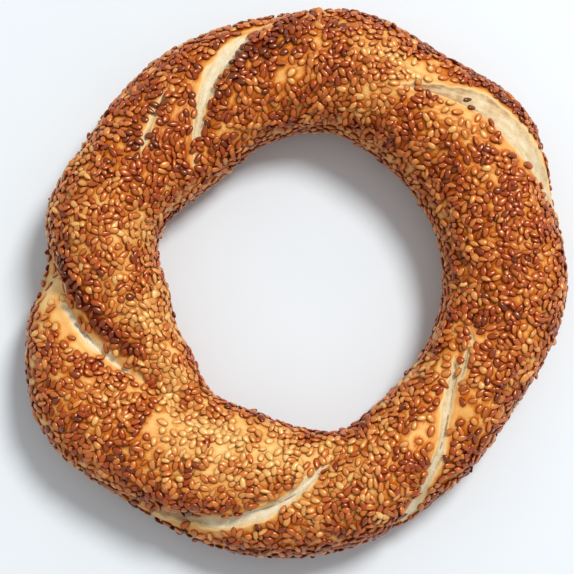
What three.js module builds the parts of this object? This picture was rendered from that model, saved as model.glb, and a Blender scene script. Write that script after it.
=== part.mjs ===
// A simit: two ropes of dough twisted together, closed into a ring, coated with sesame and baked.
// It is one solid, in millimetres with +Z up. It stands on its flat underside, with the middle of
// its outline over the origin.
//
// Two angles, in degrees, place a point on the crust:
//   around  counterclockwise about the ring's axis, seen from above, from +X;
//   over    round the bread's section: 0 at the outer edge, 90 on the crown, 180 at the hole.

import * as THREE from "three";

// Driving dimensions.
const OUTER_RADIUS = 77.1; // of the outer edge, before its swells
const HOLE_RADIUS = 43.9; // of the hole's edge, before its swells
const CROWN_HEIGHT = 31; // where the bread has its mean width
const WIDEST_HEIGHT = 13.5; // height of the section's widest line
const UNDERSIDE_REACH = 16; // how far below that line the section would reach on no tray
const SECTION_POWER = 2.2; // 2 is an ellipse, more is squarer
const CROWN_LOSS = 0.12; // height the crown gives up for each millimetre of extra width

const ROPE_TURNS = 2.5; // turns that each rope makes on its way around the ring
const STEPS_AROUND = 150;
const STEPS_OVER = 28;

// The hand-rolled shape: each swell moves an edge outwards, or the crown up, by "rise" at "at", and
// dies away over "spread" degrees to each side.
const OUTER_SWELLS = [
  { at: 1, rise: 1.8, spread: 12 },
  { at: 36, rise: 6.5, spread: 15 },
  { at: 78, rise: 3.9, spread: 18 },
  { at: 146, rise: -4.4, spread: 20 },
  { at: 176, rise: -4.3, spread: 9 },
  { at: 211, rise: 6.9, spread: 18 },
  { at: 259, rise: 2.6, spread: 24 },
  { at: 304, rise: -2.2, spread: 15 },
  { at: 328, rise: -4.3, spread: 16 },
];
const HOLE_SWELLS = [
  { at: 75, rise: 2.0, spread: 16 },
  { at: 129, rise: -6.2, spread: 25 },
  { at: 186, rise: -6.4, spread: 17 },
  { at: 214, rise: -6.6, spread: 18 },
  { at: 252, rise: -3.7, spread: 17 },
  { at: 287, rise: 2.5, spread: 12 },
  { at: 319, rise: -1.2, spread: 33 },
];
const CROWN_SWELLS = [
  { at: 62, rise: 0.9, spread: 30 },
  { at: 158, rise: 1.5, spread: 26 },
  { at: 238, rise: -0.9, spread: 24 },
  { at: 322, rise: -1.6, spread: 28 },
];

// The seams where the two ropes meet. Each crosses the crown at "crown" and runs clockwise from the
// hole to the outer edge: "pitch" is the degrees it goes around for each degree over, and "bend"
// changes that away from the crown. It is open between "from" and "to" over the section. The groove
// is "depth" deep, its floor is "crease" to each side, and its wall spreads over "lap" millimetres on
// the rope that lies on top, and over "bed" millimetres on the rope beneath.
const SEAMS = [
  { crown: 60.7, pitch: 0.581, bend: 0, from: -8, to: 96, depth: 1.6, lap: 5, bed: 4.5, crease: 5 },
  { crown: 116.3, pitch: 0.335, bend: 0, from: -5, to: 142, depth: 2.2, lap: 4, bed: 5.5, crease: 3 },
  { crown: 200.9, pitch: 0.453, bend: 0.0019, from: -15, to: 150, depth: 6.5, lap: 4, bed: 9, crease: 3 },
  { crown: 271.56, pitch: 0.321, bend: -0.0013, from: -5, to: 142, depth: 4, lap: 3.5, bed: 7, crease: 3 },
  { crown: 318.46, pitch: 0.411, bend: 0.0017, from: -5, to: 130, depth: 2, lap: 3.5, bed: 4, crease: 2 },
];
const SEAM_FADE = 22; // degrees over which a seam opens and closes

const radians = THREE.MathUtils.degToRad;
const MEAN_WIDTH = OUTER_RADIUS - HOLE_RADIUS;

// The signed angle from one bearing to another, the short way round.
function turn(from, to) {
  return THREE.MathUtils.euclideanModulo(to - from + 180, 360) - 180;
}

function swelled(radius, swells, around) {
  return swells.reduce(
    (sum, { at, rise, spread }) => sum + rise * Math.exp(-((turn(at, around) / spread) ** 2)),
    radius,
  );
}

// A cosine or sine that makes a squarer section than an ellipse's.
function squared(value) {
  return Math.sign(value) * Math.abs(value) ** (2 / SECTION_POWER);
}

// How deep the grooves are at a point of the crust that lies at the given radius from the axis.
function grooveDepth(around, over, radius, sectionRadius) {
  return SEAMS.reduce((deepest, seam) => {
    const fromCrown = over - 90;
    const line = seam.crown + seam.pitch * fromCrown + seam.bend * fromCrown ** 2;
    const slope = seam.pitch + 2 * seam.bend * fromCrown;
    const run = radius * radians(turn(line, around));
    const distance = (run * sectionRadius) / Math.hypot(sectionRadius, radius * slope);
    const rise = Math.hypot(distance, seam.crease) - seam.crease;
    const wall = distance < 0 ? seam.lap : seam.bed;
    const open =
      THREE.MathUtils.smoothstep(over, seam.from, seam.from + SEAM_FADE) *
      (1 - THREE.MathUtils.smoothstep(over, seam.to - SEAM_FADE, seam.to));
    return Math.max(deepest, seam.depth * open * Math.exp(-rise / wall));
  }, 0);
}

// The crust's point at the two angles.
function crustPoint(around, over) {
  const outer = swelled(OUTER_RADIUS, OUTER_SWELLS, around);
  const hole = swelled(HOLE_RADIUS, HOLE_SWELLS, around);
  const width = outer - hole;
  const crown = swelled(CROWN_HEIGHT, CROWN_SWELLS, around) - CROWN_LOSS * (width - MEAN_WIDTH);
  const cosine = squared(Math.cos(radians(over)));
  const sine = squared(Math.sin(radians(over)));
  const outwards = (width / 2) * cosine;
  const upwards = (sine > 0 ? crown - WIDEST_HEIGHT : UNDERSIDE_REACH) * sine;
  const middle = (outer + hole) / 2;
  const sectionRadius = Math.hypot(outwards, upwards);
  const depth = grooveDepth(around, over > 270 ? over - 360 : over, middle + outwards, sectionRadius);
  const shrink = 1 - depth / sectionRadius;
  const radius = middle + outwards * shrink;
  const height = Math.max(WIDEST_HEIGHT + upwards * shrink, 0);
  return [radius * Math.cos(radians(around)), radius * Math.sin(radians(around)), height];
}

// A closed grid of quads whose rows follow the twist, so that a seam lies along them. Once over the
// section, a row has moved on by one turn of the rope, and there it meets the start of a later row.
function breadRing() {
  const rowsInTurn = STEPS_AROUND / ROPE_TURNS;
  const index = (row, step) => {
    const laterRow = row + (step === STEPS_OVER ? rowsInTurn : 0);
    return (laterRow % STEPS_AROUND) * STEPS_OVER + (step % STEPS_OVER);
  };
  const points = [];
  const faces = [];
  for (let row = 0; row < STEPS_AROUND; row++) {
    for (let step = 0; step < STEPS_OVER; step++) {
      const turned = step / STEPS_OVER;
      points.push(...crustPoint((360 * (row + rowsInTurn * turned)) / STEPS_AROUND, 360 * turned));
      const near = [index(row, step), index(row + 1, step)];
      const far = [index(row, step + 1), index(row + 1, step + 1)];
      faces.push(near[0], near[1], far[0], near[1], far[1], far[0]);
    }
  }
  const geometry = new THREE.BufferGeometry();
  geometry.setAttribute("position", new THREE.Float32BufferAttribute(points, 3));
  geometry.setIndex(faces);
  geometry.computeBoundingBox();
  const middle = geometry.boundingBox.getCenter(new THREE.Vector3());
  geometry.translate(-middle.x, -middle.y, 0);
  geometry.computeVertexNormals();
  return geometry;
}

const crust = new THREE.MeshStandardMaterial({ color: 0xb87438, roughness: 0.5, metalness: 0 });

const bread = new THREE.Mesh(breadRing(), crust);
bread.name = "bread_ring";

const simit = new THREE.Group();
simit.add(bread);

export default simit;
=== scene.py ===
"""The looks of a simit, a twisted bread ring coated with toasted sesame.

The crust is one mesh, worked out from the CAD model's named sizes but much finer, and torn open to the
crumb along its seams. The seeds are real meshes in four pieces, from the palest to the darkest.

Shapes are worked out in millimetres, and two angles in degrees place a point on the crust:
  around  counterclockwise about the ring's axis, seen from above, from +X;
  over    round the bread's section: 0 at the outer edge, 90 on the crown, 180 at the hole.
"""

import math

import bpy
import numpy as np
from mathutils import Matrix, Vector, noise
from mathutils.kdtree import KDTree


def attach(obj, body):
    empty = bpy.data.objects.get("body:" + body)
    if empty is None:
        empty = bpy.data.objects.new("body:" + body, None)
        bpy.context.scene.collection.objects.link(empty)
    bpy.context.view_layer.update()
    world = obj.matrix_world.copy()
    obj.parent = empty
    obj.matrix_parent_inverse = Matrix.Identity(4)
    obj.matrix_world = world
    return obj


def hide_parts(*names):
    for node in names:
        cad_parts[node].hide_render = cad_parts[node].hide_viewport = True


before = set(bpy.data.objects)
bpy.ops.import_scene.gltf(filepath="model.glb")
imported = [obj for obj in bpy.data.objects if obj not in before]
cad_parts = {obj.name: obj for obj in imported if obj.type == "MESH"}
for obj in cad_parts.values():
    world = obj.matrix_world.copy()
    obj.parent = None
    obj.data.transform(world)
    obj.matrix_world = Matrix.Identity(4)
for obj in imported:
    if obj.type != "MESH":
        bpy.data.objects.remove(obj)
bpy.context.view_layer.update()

MM = 0.001
BREAD_NODE = "bread_ring"
BODY = "root"

# ---------------------------------------------------------------------------------------------------
# The bread's shape, as in the CAD model
# ---------------------------------------------------------------------------------------------------
# The two radii, the outer and hole swells and the seams' lines were fitted by another program, and many
# of the "split" and "bare" numbers started as its output.
OUTER_RADIUS = 77.1
HOLE_RADIUS = 43.9
CROWN_HEIGHT = 31.0
WIDEST_HEIGHT = 13.5
UNDERSIDE_REACH = 16.0
SECTION_POWER = 2.2
CROWN_LOSS = 0.12
MEAN_WIDTH = OUTER_RADIUS - HOLE_RADIUS
ROPE_TURNS = 2.5

# Each swell moves an edge outwards, or the crown up, by its rise, in (at, rise, spread).
OUTER_SWELLS = [(1, 1.8, 12), (36, 6.5, 15), (78, 3.9, 18), (146, -4.4, 20), (176, -4.3, 9),
                (211, 6.9, 18), (259, 2.6, 24), (304, -2.2, 15), (328, -4.3, 16)]
HOLE_SWELLS = [(75, 2.0, 16), (129, -6.2, 25), (186, -6.4, 17), (214, -6.6, 18),
               (252, -3.7, 17), (287, 2.5, 12), (319, -1.2, 33)]
CROWN_SWELLS = [(62, 0.9, 30), (158, 1.5, 26), (238, -0.9, 24), (322, -1.6, 28)]

# The seams where the two ropes meet. "line" is the seam's course (crown, pitch, bend), and "groove"
# its shape (start, end, depth, lap, bed, crease): the rope on the lap side lies over the one on the bed
# side, and the crease is the half-width of the groove's floor.
# "split" is where the crust has torn open to the crumb, and "bare" where no seeds stuck: each gives, at
# places over the section, its reach in millimetres to the lap side and to the bed side, (over, lap, bed).
# "crumb" is how much paler the crumb is there, or browner where it is negative, (over, change). Some seams
# have a "burn", where the edge of the lap has baked darkest, (strength, start, end), or a "crack", which
# is a broken dark line of painted shade down the narrow crack along the seam, (start, end).
SEAMS = [
    dict(line=(60.7, 0.581, 0), groove=(-8, 96, 1.6, 5, 4.5, 5.0),
         crumb=[(20, -0.08), (42, -0.12), (58, -0.17), (84, -0.36)],
         split=[(6, 0, 1), (16, 3.6, 4.5), (25, 5.4, 6), (36, 7.2, 3.3), (45, 7, 2.6), (52, 5.4, 3),
                (60, 3.6, 4.6), (70, 1.7, 3.2), (80, 0.6, 1.6), (90, 0.3, 0.3)],
         bare=[(2, 1, 2), (16, 5, 6.2), (25, 7, 7), (36, 9, 4.8), (45, 9, 3.6), (53, 7, 5),
               (60, 4.6, 6.8), (70, 3, 5.2), (80, 0.6, 3), (90, 0.3, 1)]),
    dict(line=(116.3, 0.335, 0), groove=(-5, 142, 2.2, 4, 5.5, 3.0), burn=(0.12, 50, 120),
         crumb=[(50, 0.08), (110, 0)],
         split=[(44, 0.2, 0), (47, 1.8, 1.2), (51, 3.3, 2), (62, 3.7, 1.7), (76, 3.1, 2.3), (86, 2.2, 2.1),
                (96, 1, 1.9), (104, 1.5, 1.6), (114, 1.1, 1.1), (121, 0.2, 0.5), (137, -0.7, 0.5)],
         bare=[(22, 5, 0), (31, 6, 2.7), (41, 3.6, 4.6), (50, 3.5, 4.3), (62, 3.8, 4.2), (76, 3.2, 3.8),
               (88, 2.3, 4.6), (98, 1.1, 2.3), (112, 1.3, 1.9), (124, 0.6, 3), (136, 0.4, 2.6)]),
    dict(line=(200.9, 0.453, 0.0019), groove=(-15, 150, 6.5, 4, 9, 1.0), burn=(0.6, 20, 114),
         crack=(42, 98), crumb=[(90, 0.16)],
         split=[(50, -1.5, 1.9), (58, -0.6, 1.7), (66, 0, 1.7), (76, 0.5, 1.5), (84, 1, 1.2), (92, 1.1, 0.8),
                (100, 0.9, 0.4), (110, 0.3, 0.1)],
         bare=[(-8, 1, 3), (4, 1.5, 8.5), (20, 3, 11), (33, 4.7, 11), (46, 4.5, 8.4), (58, 4.3, 5.5),
               (67, 3.9, 5.4), (77, 2.8, 5.9), (84, 2.6, 4.9), (96, 2.5, 2), (106, 2.6, 1),
               (118, 1.5, 0.3)]),
    dict(line=(271.56, 0.321, -0.0013), groove=(-5, 142, 4, 3.5, 7, 1.0), burn=(0.12, 30, 90),
         crack=(50, 102), crumb=[(20, -0.3), (34, -0.06), (46, 0.08), (70, 0.16), (100, 0.08)],
         split=[(14, -1.5, 3.8), (20, -1, 4.2), (27, -0.4, 4.1), (35, 0.6, 3.7), (44, 1.3, 3.3),
                (55, 1.2, 2.6), (68, 1.1, 2.1), (78, 1.2, 1.7), (88, 1.5, 1.3), (102, 1.4, 0.8),
                (112, 1, 0.4), (119, 0.2, 0)],
         bare=[(4, -1.5, 1.5), (12, -1, 3.8), (20, 2, 6), (30, 3.8, 7.4), (42, 4, 7.4), (55, 3, 5.9),
               (68, 3, 4.2), (78, 2.5, 2.8), (88, 1.8, 2.2), (101, 1.7, 1.8), (117, 1.8, 0.9),
               (124, 0.5, 0.3)]),
    dict(line=(318.46, 0.411, 0.0017), groove=(-5, 130, 2.0, 3.5, 4, 1.6),
         crack=(52, 100), crumb=[(10, 0.12), (60, -0.04)],
         split=[(0, 2, 0.8), (10, 3.1, 2.4), (25, 3, 2.4), (40, 2.7, 1.9), (54, 2.2, 2), (68, 1.6, 1.2),
                (78, 2, 0.6), (88, 2, 0.8), (96, 1.6, 1.4), (106, 1, 2.1), (113, 0.3, 1.6),
                (117, -0.3, 0.6)],
         bare=[(0, 2.4, 1.2), (14, 3.4, 2.7), (30, 3.3, 2.6), (46, 3.2, 2.8), (61, 3.2, 3.8), (77, 4.4, 3.3),
               (91, 3.6, 4), (104, 2, 2.4), (114, 0.8, 1.8), (118, 0, 0.8)]),
    # Short tears, one beside the second seam and two beside the last.
    dict(line=(141.0, 0.62, 0), groove=(56, 100, 0.8, 1.5, 1.5, 2.0), crumb=[(76, -0.1)],
         split=[(66, 1.3, -0.8), (70, 2, -0.3), (75, 1.5, 0.2), (79, 1.3, -0.1), (84, 1.2, 0.4),
                (89, 0.3, 0.1)],
         bare=[(64, 1.8, -0.3), (70, 2.4, 0.2), (78, 1.8, 0.6), (84, 1.6, 0.8), (91, 0.5, 0.4)]),
    dict(line=(320.6, 0.91, 0), groove=(86, 118, 0.8, 1.5, 1.5, 2.0), crumb=[(100, -0.1)],
         split=[(96, 0.2, 0.2), (99, 0.8, 0.7), (104, 0.7, 0.6), (108, 0, 0)],
         bare=[(94, 0.6, 0.6), (99, 1.3, 1.2), (104, 1.2, 1), (110, 0.3, 0.3)]),
    dict(line=(333.0, 0.352, 0), groove=(94, 126, 0.6, 1.5, 1.5, 2.0), crumb=[(110, -0.05)],
         split=[(103, 0.1, 0.1), (108, 0.5, 0.4), (113, 0.4, 0.4), (116, 0, 0)],
         bare=[(101, 0.5, 0.5), (108, 1, 0.9), (113, 0.9, 0.8), (118, 0.3, 0.3)]),
]
SEAM_FADE = 22.0  # degrees over which a seam opens and closes
STRIP_TAPER = 0.3  # millimetres that a strip narrows for each degree past its ends
CRACK_FADE = 14.0  # degrees over which a crack starts and ends
BURN_PAST_BARE = 1.7  # how far from the bare crust the burn is darkest
BURN_WIDTH = 1.8
BURN_FADE_IN, BURN_FADE_OUT = 16.0, 12.0  # in degrees
FAR = 9.0  # in millimetres, well away from any tear or crack
TEAR_RECESS = 0.75
TEAR_WALL = (-0.2, 0.9)  # where a tear's wall starts and ends, by the distance inside the tear
LIP_HEIGHT, LIP_WIDTH = 0.3, 0.7
LIP_DISTANCE = 0.9  # from the edge of the tear
BASE_LIFT = 0.35  # the seeds on the underside hold the crust this far off the surface

# How dark the bake is, from 0, pale gold, to 1, dark copper, with patches in
# (around, over, half-width around, half-width over, change).
MEAN_TOAST = 0.60
BARE_PALENESS = 0.2  # how much paler the crust is in the middle of a wide bare strip
TOAST_PATCHES = [
    (246, 122, 34, 42, -0.39),
    (165, 90, 24, 60, -0.07),
    (165, 10, 20, 30, -0.1),
    (165, 150, 20, 40, -0.1),
    (355, 90, 30, 30, 0.08),
    (45, 110, 20, 30, 0.07),
    (20, 135, 60, 40, 0.12),
    (95, 60, 30, 60, 0.09),
    (285, 15, 34, 30, 0.16),
    (216, 8, 26, 30, -0.06),
    (318, 80, 16, 40, 0.08),
    (285, 90, 12, 30, -0.08),
    (40, 42, 15, 24, 0.26),
    (46, 90, 10, 12, 0.04),
    (138, 8, 40, 28, -0.12),
    (250, 165, 16, 30, 0.16),
    (236, 36, 12, 18, 0.22),
    (52, 76, 12, 12, -0.34),
    (66, 68, 12, 12, -0.2),
    (74, 98, 14, 26, -0.04),
    (102, 76, 11, 34, 0.28),
    (70, 100, 12, 26, -0.16),
    (136, 92, 14, 40, 0.24),
    (222, 95, 12, 30, 0.18),
    (192, 168, 18, 40, -0.25),
    (315, 165, 20, 40, -0.2),
    (15, 175, 30, 40, -0.16),
    (60, 175, 24, 40, -0.08),
]

# Patches of crust with few or no seeds, as (around, over, half-width around, half-width over).
BARE_PATCHES = [
    (228, 103, 3.4, 12),
    (91.5, 102, 4.0, 10),
    (95, 112, 3.0, 8),
    (132, 128, 1.6, 6),
    (308, 94, 5, 10),
    (321, 74, 4.5, 12),
    (328.5, 128, 3, 7),
    (247, 107, 3, 7),
    (262.5, 110, 3.2, 7),
    (46, 90, 5, 9),
    (40, 93, 4, 8),
    (37, 82, 3.5, 5),
    (252.5, 137, 4.0, 9),
    (262, 121, 3.5, 9),
    (48, 76, 6.0, 8),
    (58, 66, 4.5, 6),
]

# Seeds that lie on the open crumb of the first tear, as (around, over).
STRAY_SEEDS = [(45.5, 62.6), (43.3, 70.9), (37.6, 69.8), (34.5, 72.7)]


def turn(start, end):
    """The signed angle from one bearing to another, the short way round."""
    return (end - start + 180) % 360 - 180


def swelled(radius, swells, around):
    return radius + sum(rise * np.exp(-((turn(at, around) / spread) ** 2)) for at, rise, spread in swells)


def squared(value):
    """A cosine or sine that makes a squarer section than an ellipse's."""
    return np.sign(value) * np.abs(value) ** (2 / SECTION_POWER)


def smoothstep(value, low, high):
    """0 at low and 1 at high. It falls from high to low where low is the larger."""
    t = np.clip((value - low) / (high - low), 0, 1)
    return t * t * (3 - 2 * t)


def within(distance, over, strip):
    """How far inside a strip along a seam a point is, in millimetres; negative outside."""
    places, lap, bed = zip(*strip)
    past = np.maximum(np.maximum(places[0] - over, over - places[-1]), 0)
    inside = np.minimum(distance + np.interp(over, places, lap), np.interp(over, places, bed) - distance)
    return inside - STRIP_TAPER * past


def bell(around, over, at, height, wide, tall):
    """1 at the middle of a patch, dying away over its half-widths."""
    return np.exp(-((turn(at, around) / wide) ** 2) - ((over - height) / tall) ** 2)


class Crust:
    """The crust at arrays of the two angles: its points, in millimetres, and what the surface is like."""

    middle_under = np.zeros(3)  # the point of the tray under the middle of the crust's outline

    def __init__(self, around, over):
        self.around = around
        self.over = np.where(over > 270, over - 360, over)
        outer = swelled(OUTER_RADIUS, OUTER_SWELLS, around)
        hole = swelled(HOLE_RADIUS, HOLE_SWELLS, around)
        width = outer - hole
        crown = swelled(CROWN_HEIGHT, CROWN_SWELLS, around) - CROWN_LOSS * (width - MEAN_WIDTH)
        sine = squared(np.sin(np.radians(over)))
        self.outwards = width / 2 * squared(np.cos(np.radians(over)))
        self.upwards = np.where(sine > 0, crown - WIDEST_HEIGHT, UNDERSIDE_REACH) * sine
        self.middle = (outer + hole) / 2
        self.section_radius = np.hypot(self.outwards, self.upwards)
        self._open_seams()
        self._bake()
        self._place()

    def _open_seams(self):
        """The grooves, the tears and bare strips along them, and how far from each a point is."""
        size = self.around.shape
        self.depth = np.zeros(size)  # of the groove
        self.split = np.full(size, -FAR)  # how far inside a tear
        self.bare = np.full(size, -FAR)  # how far inside a bare strip
        self.fold = np.full(size, FAR)  # how far from a crack
        self.across = np.zeros(size)  # how far from the seam of the tear
        self.crumb = np.zeros(size)
        self.burn = np.zeros(size)
        radius = self.middle + self.outwards
        from_crown = self.over - 90
        for seam in SEAMS:
            crown, pitch, bend = seam["line"]
            start, end, deep, lap, bed, crease = seam["groove"]
            line = crown + pitch * from_crown + bend * from_crown**2
            slope = pitch + 2 * bend * from_crown
            run = radius * np.radians(turn(line, self.around))
            length = np.hypot(self.section_radius, radius * slope)
            distance = run * self.section_radius / length
            # Where over the section the nearest point of the seam lies.
            over = self.over + np.degrees(distance * radius * slope / length / self.section_radius)
            rise = np.hypot(distance, crease) - crease
            opened = smoothstep(self.over, start, start + SEAM_FADE)
            opened = opened * (1 - smoothstep(self.over, end - SEAM_FADE, end))
            wall = np.where(distance < 0, lap, bed)
            self.depth = np.maximum(self.depth, deep * opened * np.exp(-rise / wall))
            split = within(distance, over, seam["split"])
            self.across = np.where(split > self.split, distance, self.across)
            self.crumb = np.where(split > self.split, np.interp(over, *zip(*seam["crumb"])), self.crumb)
            self.split = np.maximum(self.split, split)
            self.bare = np.maximum(self.bare, within(distance, over, seam["bare"]))
            if "crack" in seam:
                start, end = seam["crack"]
                cracked = smoothstep(over, start, start + CRACK_FADE)
                cracked = cracked * (1 - smoothstep(over, end - CRACK_FADE, end))
                self.fold = np.minimum(self.fold, np.abs(distance) + FAR * (1 - cracked))
            if "burn" in seam:
                strength, start, end = seam["burn"]
                places, lap, _ = zip(*seam["bare"])
                edge = distance + np.interp(over, places, lap) + BURN_PAST_BARE
                reach = smoothstep(over, start, start + BURN_FADE_IN)
                reach = reach * (1 - smoothstep(over, end - BURN_FADE_OUT, end))
                self.burn = np.maximum(self.burn, strength * reach * np.exp(-((edge / BURN_WIDTH) ** 2)))

    def _bake(self):
        """How dark the crust is, and where it has few seeds."""
        self.toast = MEAN_TOAST + self.burn - BARE_PALENESS * smoothstep(self.bare, 0, 5)
        for *patch, change in TOAST_PATCHES:
            self.toast = self.toast + change * bell(self.around, self.over, *patch)
        self.patch = np.max([bell(self.around, self.over, *patch) for patch in BARE_PATCHES], axis=0)

    def _place(self):
        """Sinks the torn crumb, raises its lips, and sets the points."""
        recess = TEAR_RECESS * smoothstep(self.split, *TEAR_WALL)
        lip = LIP_HEIGHT * np.exp(-(((self.split + LIP_DISTANCE) / LIP_WIDTH) ** 2))
        shrink = 1 - (self.depth + recess - lip) / self.section_radius
        radius = self.middle + self.outwards * shrink
        height = np.maximum(WIDEST_HEIGHT + self.upwards * shrink, BASE_LIFT)
        angle = np.radians(self.around)
        points = np.stack([radius * np.cos(angle), radius * np.sin(angle), height], -1)
        self.points = points - Crust.middle_under


def centre_outline():
    """Puts the middle of the crust's outline over the origin, as in the CAD model."""
    around = np.arange(0, 360, 0.5)
    edge = Crust(around, np.zeros_like(around)).points
    Crust.middle_under = (edge.min(0) + edge.max(0)) / 2 * (1, 1, 0)


centre_outline()


def unit(vectors):
    return vectors / np.maximum(np.linalg.norm(vectors, axis=-1, keepdims=True), 1e-12)


def bumps(points, size, seed):
    """Perlin noise at points in millimetres, with features about size millimetres across."""
    shift = Vector((seed, seed * 1.7, seed * 2.3))
    return np.fromiter((noise.noise(Vector(p) / size + shift) for p in points.tolist()), float, len(points))


# ---------------------------------------------------------------------------------------------------
# Node graphs
# ---------------------------------------------------------------------------------------------------
class Graph:
    """A material's node tree, built with short calls."""

    def __init__(self, name):
        self.material = bpy.data.materials.new(name)
        self.material.use_nodes = True
        self.tree = self.material.node_tree
        self.shader = self.tree.nodes["Principled BSDF"]

    def node(self, kind, inputs=(), **settings):
        made = self.tree.nodes.new("ShaderNode" + kind)
        for key, value in settings.items():
            setattr(made, key, value)
        for key, value in dict(inputs).items():
            self.put(made.inputs[key], value)
        return made

    def put(self, socket, value):
        if isinstance(value, bpy.types.NodeSocket):
            self.tree.links.new(value, socket)
        else:
            socket.default_value = value

    def attribute(self, name):
        return self.node("Attribute", attribute_name=name).outputs["Fac"]

    def place(self):
        return self.node("TexCoord").outputs["Object"]

    def noise(self, place, size_mm, detail, roughness=0.55):
        inputs = {"Vector": place, "Scale": 1 / (size_mm * MM), "Detail": detail, "Roughness": roughness}
        return self.node("TexNoise", inputs).outputs["Fac"]

    def maths(self, operation, first, second, third=0.0):
        return self.node("Math", {0: first, 1: second, 2: third}, operation=operation).outputs[0]

    def spread(self, value, low, high, to_low=0.0, to_high=1.0):
        inputs = {"Value": value, "From Min": low, "From Max": high, "To Min": to_low, "To Max": to_high}
        return self.node("MapRange", inputs, interpolation_type="SMOOTHSTEP").outputs[0]

    def ramp(self, value, stops):
        made = self.node("ValToRGB", {"Fac": value})
        elements = made.color_ramp.elements
        while len(elements) < len(stops):
            elements.new(0.5)
        for element, (position, colour) in zip(elements, stops):
            element.position = position
            element.color = srgb(*colour)
        return made.outputs["Color"]

    def mix(self, factor, first, second, blend="MIX"):
        made = self.node("Mix", data_type="RGBA", blend_type=blend)
        for name, value in (("Factor_Float", factor), ("A_Color", first), ("B_Color", second)):
            self.put(next(socket for socket in made.inputs if socket.identifier == name), value)
        return next(socket for socket in made.outputs if socket.identifier == "Result_Color")

    def bump(self, height, distance_mm, strength):
        inputs = {"Height": height, "Distance": distance_mm * MM, "Strength": strength}
        self.put(self.shader.inputs["Normal"], self.node("Bump", inputs).outputs["Normal"])


def srgb(red, green, blue):
    """A colour given as it looks on a screen, from 0 to 255, in Blender's linear values."""
    def linear(value):
        value /= 255
        return value / 12.92 if value <= 0.04045 else ((value + 0.055) / 1.055) ** 2.4
    return (linear(red), linear(green), linear(blue), 1.0)


STRAND_SQUEEZE = 0.12  # the crumb's strands are about 8 times as long as they are wide


def crust_material():
    """Baked dough from pale gold to dark copper, torn to cream crumb where "split" is above 0."""
    g = Graph("baked_crust")
    place = g.place()
    split = g.attribute("split")
    broad = g.noise(place, 9, 4)
    fine = g.noise(place, 1.6, 4)
    grain = g.noise(place, 0.35, 2)

    toast = g.maths("MULTIPLY_ADD", g.attribute("toast"), 0.75, 0.12)
    toast = g.maths("MULTIPLY_ADD", broad, 0.45, toast)
    toast = g.maths("MULTIPLY_ADD", fine, 0.35, toast)
    toast = g.maths("MULTIPLY_ADD", grain, 0.16, toast)
    # Browner round the seeds: partly molasses glaze, partly painted shade between them.
    toast = g.maths("MULTIPLY_ADD", g.attribute("glaze_and_shade"), 0.34, toast)
    toast = g.maths("SUBTRACT", toast, 0.67)

    # The crumb's strands run along the tear, and they and a broad noise make the tear's edge ragged.
    stretched = g.node("CombineXYZ", {
        "X": g.maths("MULTIPLY", g.attribute("across"), MM),
        "Y": g.maths("MULTIPLY", g.attribute("along"), STRAND_SQUEEZE * MM),
    }).outputs[0]
    strands = g.noise(stretched, 0.5, 3)
    ragged = g.maths("MULTIPLY_ADD", g.noise(place, 4.5, 2, 0.4), 2.0, split)
    ragged = g.maths("ADD", strands, ragged)
    ragged = g.maths("SUBTRACT", ragged, 1.5)

    # Just outside the tear the crust is golden, however dark the bake is.
    rim = g.maths("MULTIPLY", g.spread(ragged, -2.8, -1.0), g.spread(ragged, 0.2, -0.4))
    crust = g.ramp(toast, [
        (0.0, (240, 204, 138)),
        (0.28, (234, 187, 115)),
        (0.50, (224, 160, 84)),
        (0.72, (192, 99, 16)),
        (1.0, (112, 33, 2)),
    ])
    crust = g.mix(g.maths("MULTIPLY", rim, 0.5), crust, srgb(224, 150, 74))

    # The crumb is browner where the tear is narrow and in its pores: painted shade in the narrow tear and in
    # the pores.
    pale = g.maths("MULTIPLY_ADD", strands, 0.5, g.maths("MULTIPLY", g.noise(place, 3, 3), 0.6))
    pale = g.maths("ADD", pale, g.spread(split, 0.0, 2.4, 0.02, 0.14))
    pale = g.maths("ADD", pale, g.spread(grain, 0.6, 0.72, 0.0, -0.24))
    pale = g.maths("ADD", pale, g.attribute("crumb"))
    crumb = g.ramp(pale, [
        (0.28, (178, 140, 100)),
        (0.46, (208, 182, 140)),
        (0.66, (225, 208, 172)),
        (0.84, (236, 224, 197)),
        (1.0, (244, 232, 200)),
    ])
    crumb = g.mix(g.spread(ragged, 0.5, -0.2), crumb, srgb(242, 206, 144))
    colour = g.mix(g.spread(ragged, -0.8, 0.1), crust, crumb)
    # A broken dark line along the crack: painted shade down the narrow crack.
    crack = g.maths("MULTIPLY", g.spread(g.attribute("fold"), 0.5, 0.1), g.spread(split, -0.6, 0.3))
    crack = g.maths("MULTIPLY", crack, g.spread(fine, 0.34, 0.56))
    colour = g.mix(g.maths("MULTIPLY", crack, 0.7), colour, srgb(120, 92, 62))
    g.put(g.shader.inputs["Base Color"], colour)

    torn = g.spread(ragged, -0.1, 0.3)
    satin = g.spread(fine, 0, 1, 0.34, 0.52)
    g.put(g.shader.inputs["Roughness"], g.maths("MULTIPLY_ADD", torn, 0.4, satin))
    relief = g.maths("MULTIPLY_ADD", grain, 0.5, fine)
    rough = g.maths("MULTIPLY", g.maths("ADD", strands, grain), torn)
    g.bump(g.maths("MULTIPLY_ADD", rough, 0.9, relief), 0.3, 0.6)
    g.shader.inputs["Specular IOR Level"].default_value = 0.3
    g.shader.inputs["Specular Tint"].default_value = srgb(255, 218, 178)
    return g.material


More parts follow.
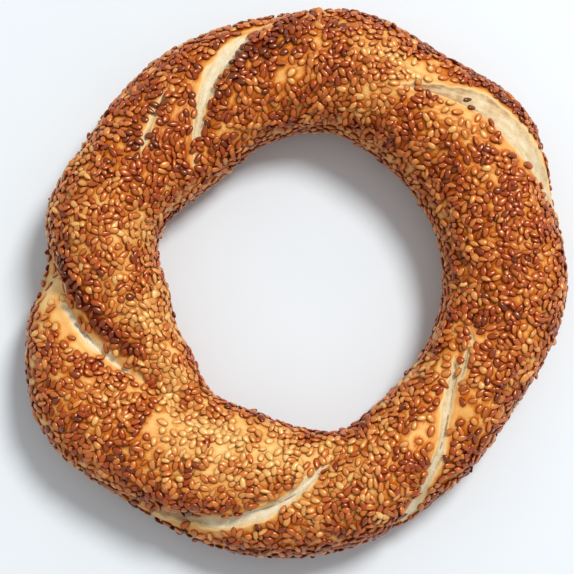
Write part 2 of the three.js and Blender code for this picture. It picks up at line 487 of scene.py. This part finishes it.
def sesame_material():
    """Toasted seeds: "tone" runs from 0, pale gold, to 1, maroon; "along" from the tip to the round end;
    and "under" from the top, 0, round to the underside, 1."""
    g = Graph("toasted_sesame")
    colour = g.ramp(g.attribute("tone"), [
        (0.0, (240, 200, 126)),
        (0.25, (232, 176, 100)),
        (0.5, (207, 122, 52)),
        (0.75, (165, 62, 7)),
        (1.0, (106, 34, 16)),
    ])
    ends = g.ramp(g.attribute("along"), [
        (0.0, (178, 158, 146)),
        (0.3, (250, 246, 240)),
        (0.75, (255, 255, 255)),
        (1.0, (206, 190, 180)),
    ])
    # Each seed is darker from its top round its sides: painted shade where it curves away and meets the
    # crust, with some of the seed's own darker toasted edge.
    edge = g.ramp(g.attribute("under"), [
        (0.08, (255, 255, 255)),
        (0.2, (242, 216, 190)),
        (0.32, (204, 130, 76)),
        (0.46, (136, 52, 8)),
    ])
    colour = g.mix(1.0, colour, ends, "MULTIPLY")
    # How strongly a seed gets that painted edge shade, more on darker seeds.
    edge_shade_amount = g.spread(g.attribute("tone"), 0.0, 0.6, 0.4, 1.0)
    g.put(g.shader.inputs["Base Color"], g.mix(edge_shade_amount, colour, edge, "MULTIPLY"))
    g.shader.inputs["Roughness"].default_value = 0.29
    g.shader.inputs["IOR"].default_value = 1.57
    g.shader.inputs["Specular IOR Level"].default_value = 1.0
    g.shader.inputs["Specular Tint"].default_value = srgb(255, 208, 164)
    return g.material


# ---------------------------------------------------------------------------------------------------
# Meshes
# ---------------------------------------------------------------------------------------------------
BAKE_MAP = "OFBake"


def new_piece(name, points_mm, faces, attributes, corner_uvs, material):
    """A smooth mesh from arrays, which rides on the bread's body. A row of faces is one face's corners."""
    mesh = bpy.data.meshes.new(name)
    mesh.vertices.add(len(points_mm))
    mesh.vertices.foreach_set("co", (points_mm * MM).astype(np.float32).ravel())
    mesh.loops.add(faces.size)
    mesh.loops.foreach_set("vertex_index", faces.astype(np.int32).ravel())
    mesh.polygons.add(len(faces))
    mesh.polygons.foreach_set("loop_start", np.arange(0, faces.size, faces.shape[1], dtype=np.int32))
    mesh.update(calc_edges=True)
    mesh.polygons.foreach_set("use_smooth", np.ones(len(faces), bool))
    for key, values in attributes.items():
        layer = mesh.attributes.new(key, "FLOAT", "POINT")
        layer.data.foreach_set("value", values.astype(np.float32))
    uv = mesh.uv_layers.new(name=BAKE_MAP)
    uv.data.foreach_set("uv", corner_uvs.astype(np.float32).ravel())
    mesh.validate()
    mesh.materials.append(material)
    piece = bpy.data.objects.new(name, mesh)
    bpy.context.scene.collection.objects.link(piece)
    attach(piece, BODY)
    return piece


CRUST_ROWS = 640
CRUST_STEPS = 150
LUMPS = [(14, 0.35, 3.1), (5, 0.16, 7.7), (2.2, 0.06, 12.9)]  # size, height and seed of the dough's lumps
LUMPS_START, LUMPS_FULL = 0.5, 4.0  # the heights between which the lumps grow, above the flat underside
BAKE_MARGIN = 0.004


def grid_angles():
    """The crust's grid follows the twist: each row moves on by one turn of the rope as it goes over."""
    rows, steps = np.meshgrid(np.arange(CRUST_ROWS), np.arange(CRUST_STEPS), indexing="ij")
    around = 360 * (rows / CRUST_ROWS + steps / CRUST_STEPS / ROPE_TURNS)
    return around.ravel() % 360, (360 * steps / CRUST_STEPS).ravel()


def grid_quads():
    rows, steps = np.meshgrid(np.arange(CRUST_ROWS), np.arange(CRUST_STEPS), indexing="ij")
    rows_in_turn = round(CRUST_ROWS / ROPE_TURNS)

    def index(row, step):
        later = row + np.where(step == CRUST_STEPS, rows_in_turn, 0)
        return (later % CRUST_ROWS) * CRUST_STEPS + step % CRUST_STEPS

    corners = [(1, 0), (1, 1), (0, 1), (0, 0)]  # in this order a quad is cut along its shorter diagonal
    quads = np.stack([index(rows + i, steps + j).ravel() for i, j in corners], 1)
    places = np.stack([np.stack([(rows + i).ravel(), (steps + j).ravel()], 1) for i, j in corners], 1)
    return quads, places


def crust_map(places):
    """Unrolls the crust into two strips, one above the other, for baking."""
    half = CRUST_ROWS // 2
    first_row = places[:, -1:, 0]
    strip = (first_row >= half).astype(float)
    along = (places[:, :, 0] - strip * half) / half
    across = places[:, :, 1] / CRUST_STEPS
    u = BAKE_MARGIN + (1 - 2 * BAKE_MARGIN) * along
    v = (strip + BAKE_MARGIN + (1 - 2 * BAKE_MARGIN) * across) / 2
    return np.stack([u, v], -1)


# The crust round each seed is browner: partly its molasses glaze, partly painted shade between the seeds.
GLAZE_AND_SHADE_NEAR, GLAZE_AND_SHADE_FAR = 1.1, 2.2  # how far from a seed's middle the crust is still browner, in millimetres


def glaze_and_shade(points, seeds):
    """1 on the crust round each seed, browner from molasses glaze and painted shade, falling to 0 away from
    the seeds.
    """
    tree = KDTree(len(seeds))
    for i, seed in enumerate(seeds):
        tree.insert(seed.point, i)
    tree.balance()
    nearest = np.array([tree.find(point)[2] for point in points.tolist()])
    return 1 - smoothstep(nearest, GLAZE_AND_SHADE_NEAR, GLAZE_AND_SHADE_FAR)


def make_crust(seeds):
    around, over = grid_angles()
    crust = Crust(around, over)
    centres = np.stack([crust.middle * np.cos(np.radians(around)),
                        crust.middle * np.sin(np.radians(around)),
                        np.full_like(around, WIDEST_HEIGHT)], -1) - Crust.middle_under
    outwards = unit(crust.points - centres)
    lift = sum(height * bumps(crust.points, size, seed) for size, height, seed in LUMPS)
    lift *= smoothstep(crust.points[:, 2], LUMPS_START, LUMPS_FULL)
    points = crust.points + outwards * lift[:, None]
    points[:, 2] = np.maximum(points[:, 2], BASE_LIFT)
    quads, places = grid_quads()
    attributes = {
        "toast": crust.toast,
        "split": np.clip(crust.split, -4, 4),
        "fold": np.clip(crust.fold, 0, 5),
        "across": crust.across,
        "crumb": crust.crumb,
        "along": np.radians(crust.over) * crust.section_radius,
        "glaze_and_shade": glaze_and_shade(points, seeds),
    }
    piece = new_piece("crust", points, quads, attributes, crust_map(places), crust_material())
    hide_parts(BREAD_NODE)


# Sesame seeds, in millimetres.
SEED_LENGTH = 3.05
SEED_WIDTH = 1.96
SEED_THICKNESS = 1.1
SEED_SPREAD = 0.12  # the share by which seeds differ in size
SEED_SIDES = 8
SEED_STATIONS = [0.03, 0.15, 0.36, 0.6, 0.82, 0.96]
TIP_POWER, ROUND_POWER = 0.62, 0.42  # how blunt the tip and the round end are, less is blunter
SEED_FULLNESS = 2.017  # makes the widest place 1 wide
SEED_PLACES = 380_000  # places drawn on the crust
SEED_TRIES = 190_000  # how many of them a seed is dropped on, at most
PACKING = 0.61  # how near seeds may come: 1 is touching, less overlaps
CLING = 0.12  # the share of seeds that stick on a bare patch
CLING_BY_SEAM = 0.02  # the share that stick on the bare crust by a seam
STRAY_TOAST = 0.86
PATCH_PALENESS = 0.25  # seeds stay paler where few have stuck
TONES = 24  # shades of seed in each piece
PIECES = ["sesame_pale", "sesame_amber", "sesame_copper", "sesame_dark"]


def seed_template():
    """One seed, 1 long from its tip along X, 1 wide and 1 thick: its points, how far along and how far
    under each is, and its triangles."""
    points, along, under = [(-0.5, 0, 0)], [0.0], [0.5]
    for station in SEED_STATIONS:
        half = 0.5 * SEED_FULLNESS * station**TIP_POWER * (1 - station) ** ROUND_POWER
        for side in range(SEED_SIDES):
            angle = 2 * math.pi * (side + 0.25) / SEED_SIDES
            points.append((station - 0.5, half * math.cos(angle), half * math.sin(angle)))
            along.append(station)
            under.append(0.5 - 0.5 * math.sin(angle))
    points.append((0.5, 0, 0))
    along.append(1.0)
    under.append(0.5)

    faces = []
    last = len(points) - 1
    for side in range(SEED_SIDES):
        after = (side + 1) % SEED_SIDES
        faces.append([0, 1 + after, 1 + side])
        for band in range(len(SEED_STATIONS) - 1):
            low = 1 + band * SEED_SIDES
            high = low + SEED_SIDES
            faces.append([low + side, low + after, high + after])
            faces.append([low + side, high + after, high + side])
        end = last - SEED_SIDES
        faces.append([last, end + side, end + after])
    return np.array(points), np.array(along), np.array(under), np.array(faces)


class Seed:
    """One seed on the crust: its middle, the crust's normal there, and the way it points."""

    def __init__(self, point, normal, lengthwise, toast):
        self.point = point
        self.normal = normal
        self.lengthwise = lengthwise
        self.crosswise = normal.cross(lengthwise)
        self.toast = toast
        self.lean = Vector()
        self.raised = 0.0

    def crowding(self, other):
        """Above 1 where two seeds overlap, seen from above."""
        gap = other.point - self.point
        reach = 0.0
        for seed in (self, other):
            span = math.hypot(gap.dot(seed.lengthwise) / SEED_LENGTH, gap.dot(seed.crosswise) / SEED_WIDTH)
            reach += 0.5 / max(span, 1e-6)
        return reach


class Pile:
    """Seeds dropped one by one, each kept clear enough of the ones before it."""

    def __init__(self):
        self.seeds = []
        self.cells = {}

    def cell(self, point):
        return tuple(math.floor(c / SEED_LENGTH) for c in point)

    def neighbours(self, point):
        x, y, z = self.cell(point)
        for i in (-1, 0, 1):
            for j in (-1, 0, 1):
                for k in (-1, 0, 1):
                    yield from self.cells.get((x + i, y + j, z + k), ())

    def drop(self, seed, packing):
        """Adds the seed if there is room, leaning off those that it lies on."""
        for other in self.neighbours(seed.point):
            crowding = seed.crowding(other)
            if crowding > 1 / packing:
                return
            if crowding > 1:
                away = seed.point - other.point
                seed.lean += away.normalized() * (crowding - 1)
                seed.raised = max(seed.raised, crowding - 1)
        self.cells.setdefault(self.cell(seed.point), []).append(seed)
        self.seeds.append(seed)


def local_frames(around, over):
    """The crust at the angles, with its unit normals and tangents, and the area each place stands for."""
    step = 0.05  # in degrees
    here = Crust(around, over)
    by_around = (Crust((around + step) % 360, over).points - here.points) / step
    by_over = (Crust(around, (over + step) % 360).points - here.points) / step
    normal = np.cross(by_around, by_over)
    return here, unit(normal), unit(by_around), np.linalg.norm(normal, axis=1)


def scatter_seeds():
    """Drops the stray seeds first, and then the rest where the crust isn't bare or torn."""
    rng = np.random.default_rng(20)
    around = rng.uniform(0, 360, SEED_PLACES)
    over = rng.uniform(0, 360, SEED_PLACES)
    strays = slice(len(STRAY_SEEDS))
    around[strays], over[strays] = zip(*STRAY_SEEDS)
    crust, normals, tangents, area = local_frames(around, over)
    crust.toast[strays] = STRAY_TOAST

    flat = crust.points[:, 2] < BASE_LIFT + 0.01
    sparse = bumps(crust.points, 5, 41.3) + 0.7 * bumps(crust.points, 2.6, 52.9)
    steep = 1 - smoothstep(np.abs(90 - crust.over), 85, 50)
    loose = 0.34 * smoothstep(sparse, -0.1, 0.45) + 0.3 * smoothstep(crust.patch, 0.1, 0.5)
    loose += 0.5 * flat + 0.25 * steep
    luck = rng.uniform(0, 1, SEED_PLACES)
    clear = (crust.patch + 0.35 * sparse > 0.55) & (luck > CLING)
    clear |= (crust.bare > 0) & (luck > CLING_BY_SEAM)
    clear |= crust.split > TEAR_WALL[0]
    # The places are even in the angles, and this makes them even over the crust.
    chosen = ~clear & (rng.uniform(0, 1, SEED_PLACES) < area / np.percentile(area[~flat], 99))
    chosen[strays] = True
    spin = rng.uniform(0, 2 * math.pi, SEED_PLACES)

    pile = Pile()
    for i in np.flatnonzero(chosen)[:SEED_TRIES]:
        normal = Vector(normals[i])
        tangent = Vector(tangents[i])
        lengthwise = tangent * math.cos(spin[i]) + normal.cross(tangent) * math.sin(spin[i])
        toast = crust.toast[i] - PATCH_PALENESS * crust.patch[i]
        pile.drop(Seed(Vector(crust.points[i]), normal, lengthwise, toast), PACKING + loose[i])
    return pile.seeds


TILT = 0.15
TIPPED_SHARE, TIPPED_TILT = 0.1, 3.0  # one seed in ten is tipped up, and tilts three times as much


def place_seeds(seeds, template, rng):
    """The template's points, once for every seed, in millimetres."""
    size = np.array([SEED_LENGTH, SEED_WIDTH, SEED_THICKNESS])
    placed = []
    for seed in seeds:
        tipped = rng.uniform() < TIPPED_SHARE
        pitch, roll = rng.normal(0, TILT, 2) * (TIPPED_TILT if tipped else 1.0)
        up = (seed.normal + seed.lean * 0.9 + seed.lengthwise * pitch + seed.crosswise * roll).normalized()
        lengthwise = (seed.lengthwise - up * seed.lengthwise.dot(up)).normalized()
        axes = np.array([lengthwise, up.cross(lengthwise), up])
        sizes = size * (1 + rng.normal(0, SEED_SPREAD, 3))
        # How high the seed's middle lies, in thicknesses. Those on pale dough have sunk in deeper.
        height = 0.22 + 0.8 * min(seed.raised, 0.5) - 0.3 * max(0.5 - seed.toast, 0)
        height += 0.15 * tipped + rng.normal(0, 0.08)
        middle = seed.point + seed.normal * (height * SEED_THICKNESS)
        points = (template * sizes) @ axes + np.array(middle)
        points[:, 2] += max(0.0, -points[:, 2].min())
        placed.append(points)
    return np.array(placed)


def make_seeds(seeds):
    """The seeds in four pieces, by their tone. A few are much darker or paler than those around them."""
    rng = np.random.default_rng(8)
    count = len(seeds)
    template, along, under, triangles = seed_template()
    points = place_seeds(seeds, template, rng)
    middles = np.array([seed.point for seed in seeds])
    tone = np.array([seed.toast for seed in seeds]) + 0.32 * bumps(middles, 8, 63.1)
    odd = rng.uniform(0, 1, count)
    tone += rng.normal(0, 0.11, count) + 0.35 * (odd > 0.97) - 0.2 * (odd < 0.04)
    tone = np.clip(tone, 0, 1)

    material = sesame_material()
    order = np.argsort(tone, kind="stable")
    for name, chosen in zip(PIECES, np.array_split(order, len(PIECES))):
        low, high = tone[chosen].min(), tone[chosen].max()
        shade = np.floor((tone[chosen] - low) / (high - low) * (TONES - 1e-3))
        level = low + (shade + 0.5) / TONES * (high - low)
        offsets = np.arange(len(chosen))[:, None, None] * len(template)
        faces = (triangles[None] + offsets).reshape(-1, 3)
        uvs = np.empty((len(chosen), *triangles.shape, 2))
        uvs[..., 0] = (shade[:, None, None] + 0.1 + 0.8 * under[triangles]) / TONES
        uvs[..., 1] = 0.02 + 0.96 * along[triangles]
        attributes = {
            "tone": np.repeat(level, len(template)),
            "along": np.tile(along, len(chosen)),
            "under": np.tile(under, len(chosen)),
        }
        new_piece(name, points[chosen].reshape(-1, 3), faces, attributes, uvs.reshape(-1, 2),
                  material)


# ---------------------------------------------------------------------------------------------------
# Floor, light and camera
# ---------------------------------------------------------------------------------------------------
FLOOR_REACH = 2.5
KEY_BEARING, KEY_ELEVATION = 47, 58
KEY_DISTANCE, KEY_SIZE, KEY_POWER = 3.0, 0.9, 78
KEY_COLOUR = (1.0, 0.985, 0.97)
FILL_STRENGTH = 0.55
FILL_COLOUR = (0.97, 0.985, 1.0, 1.0)
CAMERA_BEARING, CAMERA_ELEVATION, CAMERA_DISTANCE = 270, 82, 0.66
CAMERA_TARGET = Vector((-0.00288, -0.00211, WIDEST_HEIGHT * MM))  # the middle of the picture
FRAMED_WIDTH = 0.1665  # what the picture shows from side to side, at the bread's widest height
SENSOR_WIDTH = 36.0


def make_floor():
    g = Graph("pale_floor")
    shade = g.noise(g.place(), 60, 2)
    g.put(g.shader.inputs["Base Color"], g.ramp(shade, [(0.3, (216, 223, 228)), (0.7, (219, 226, 231))]))
    g.shader.inputs["Roughness"].default_value = 0.5
    mesh = bpy.data.meshes.new("floor")
    corners = [(-1, -1), (1, -1), (1, 1), (-1, 1)]
    mesh.from_pydata([(x * FLOOR_REACH, y * FLOOR_REACH, 0) for x, y in corners], [], [(0, 1, 2, 3)])
    mesh.materials.append(g.material)
    floor = bpy.data.objects.new("floor", mesh)
    bpy.context.scene.collection.objects.link(floor)


def aim(thing, target):
    thing.rotation_euler = (target - thing.location).to_track_quat("-Z", "Y").to_euler()


def spherical(azimuth, elevation, distance):
    """A place seen from the ring: azimuth is its bearing around, as for the crust."""
    a, e = math.radians(azimuth), math.radians(elevation)
    return Vector((math.cos(a) * math.cos(e), math.sin(a) * math.cos(e), math.sin(e))) * distance


def make_light():
    light = bpy.data.lights.new("key", "AREA")
    light.shape = "DISK"
    light.size = KEY_SIZE
    light.energy = KEY_POWER
    light.color = KEY_COLOUR
    key = bpy.data.objects.new("key", light)
    key.location = spherical(KEY_BEARING, KEY_ELEVATION, KEY_DISTANCE)
    aim(key, Vector((0, 0, 0)))
    bpy.context.scene.collection.objects.link(key)
    world = bpy.data.worlds.new("studio")
    world.use_nodes = True
    background = world.node_tree.nodes["Background"]
    background.inputs["Color"].default_value = FILL_COLOUR
    background.inputs["Strength"].default_value = FILL_STRENGTH
    bpy.context.scene.world = world
    bpy.context.scene.view_settings.view_transform = "Standard"


def make_camera():
    data = bpy.data.cameras.new("camera")
    data.sensor_width = SENSOR_WIDTH
    data.lens = SENSOR_WIDTH * CAMERA_DISTANCE / FRAMED_WIDTH
    camera = bpy.data.objects.new("camera", data)
    camera.location = CAMERA_TARGET + spherical(CAMERA_BEARING, CAMERA_ELEVATION, CAMERA_DISTANCE)
    aim(camera, CAMERA_TARGET)
    bpy.context.scene.collection.objects.link(camera)
    bpy.context.scene.camera = camera


seeds = scatter_seeds()
make_crust(seeds)
make_seeds(seeds)
make_floor()
make_light()
make_camera()
